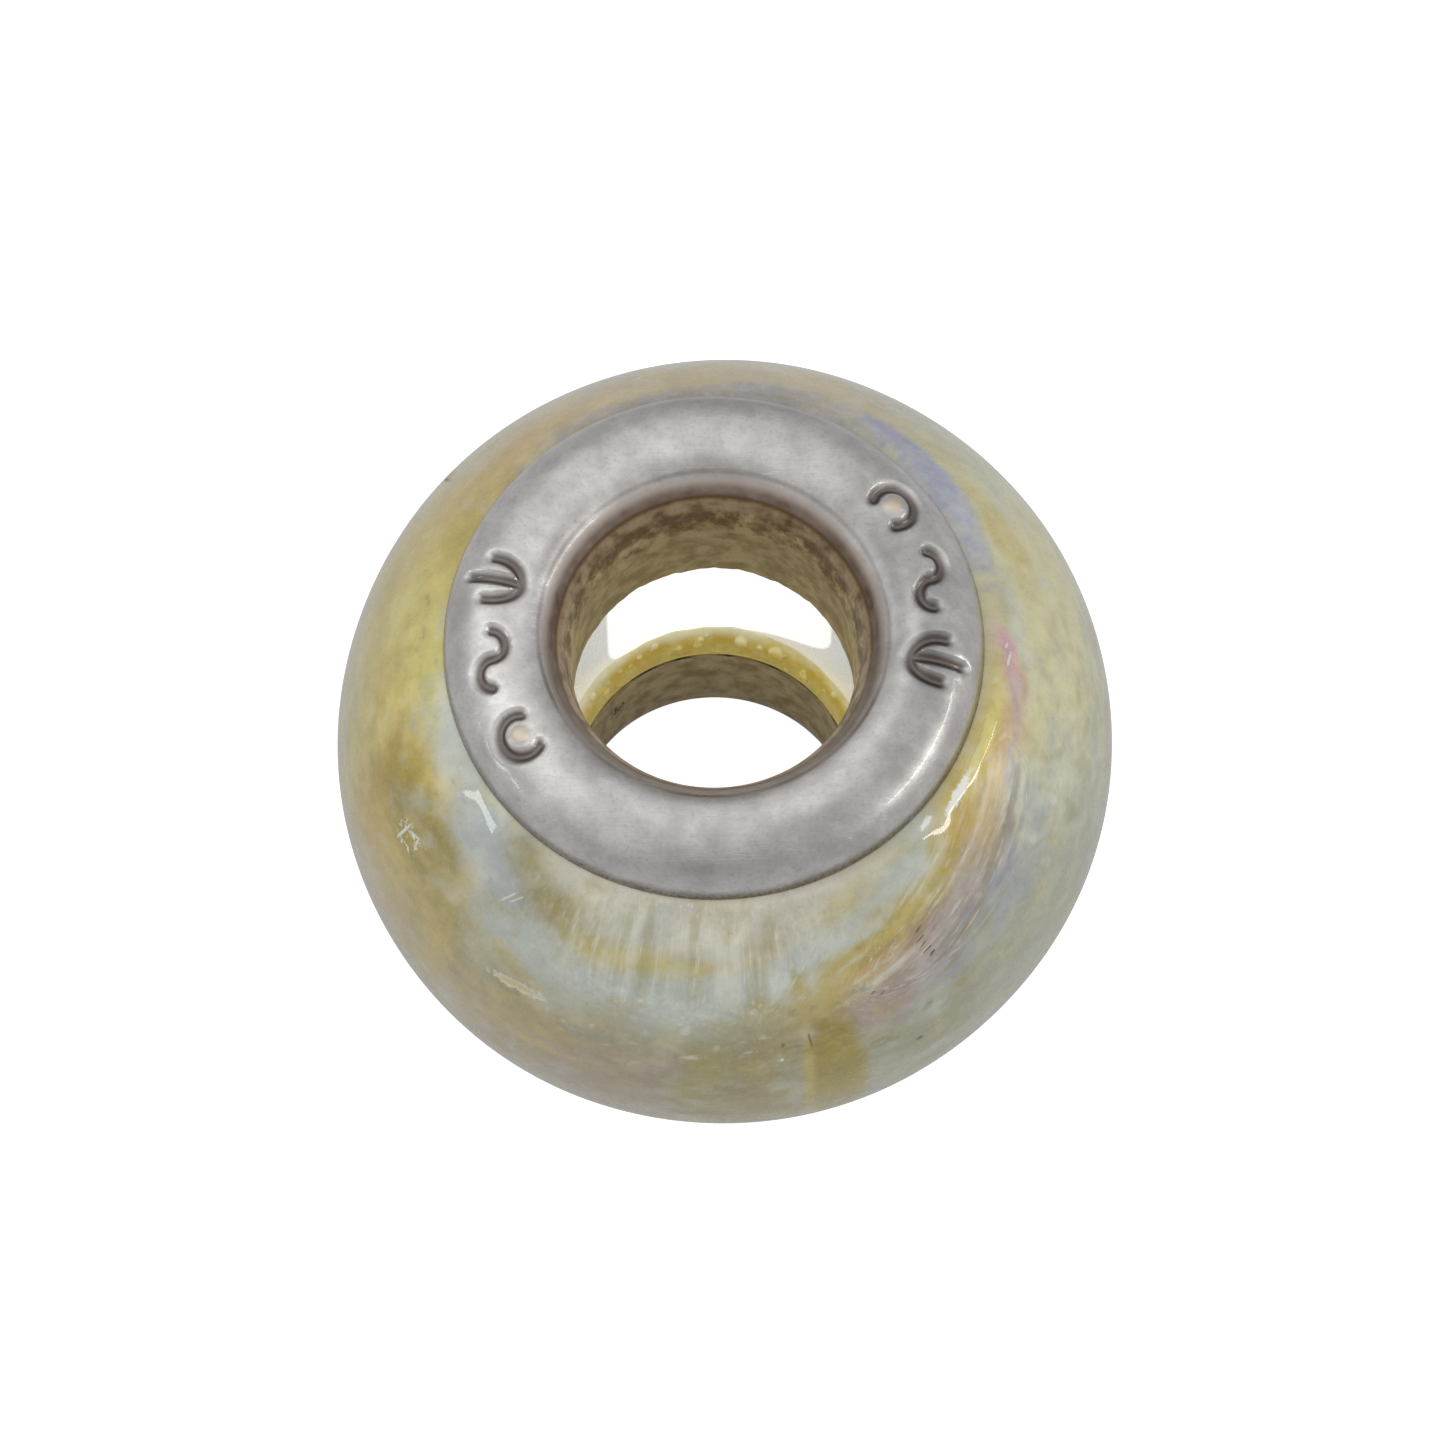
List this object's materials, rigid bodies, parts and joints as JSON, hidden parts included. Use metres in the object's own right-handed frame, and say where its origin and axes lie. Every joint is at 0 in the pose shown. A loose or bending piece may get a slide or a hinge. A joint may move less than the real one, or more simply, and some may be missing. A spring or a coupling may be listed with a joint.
{
  "type": "glass charm bead with silver grommets",
  "caption": "Barrel-shaped pearly glass charm bead with a silver grommet in each end, made to slide on to a bracelet.",
  "frame": {"origin": "under the middle of the glass, on the surface that the bead lies on", "axes": "+Z along the hole, from the back grommet, which the bead lies on, to the front one; +Y away from the viewer"},
  "size_m": [0.014, 0.014, 0.0108],
  "materials": {
    "glass": "milky lustre glass with ochre, pink and pale blue swirls, polished",
    "silver": "satin silver, worn, tarnished brown inside the tubes",
    "old_glue": "glossy yellowed adhesive with small bubbles"
  },
  "bodies": {
    "root": {"glass_bead": "glass", "core_front": "silver", "core_back": "silver", "glue_band": "old_glue"}
  },
  "joints": []
}
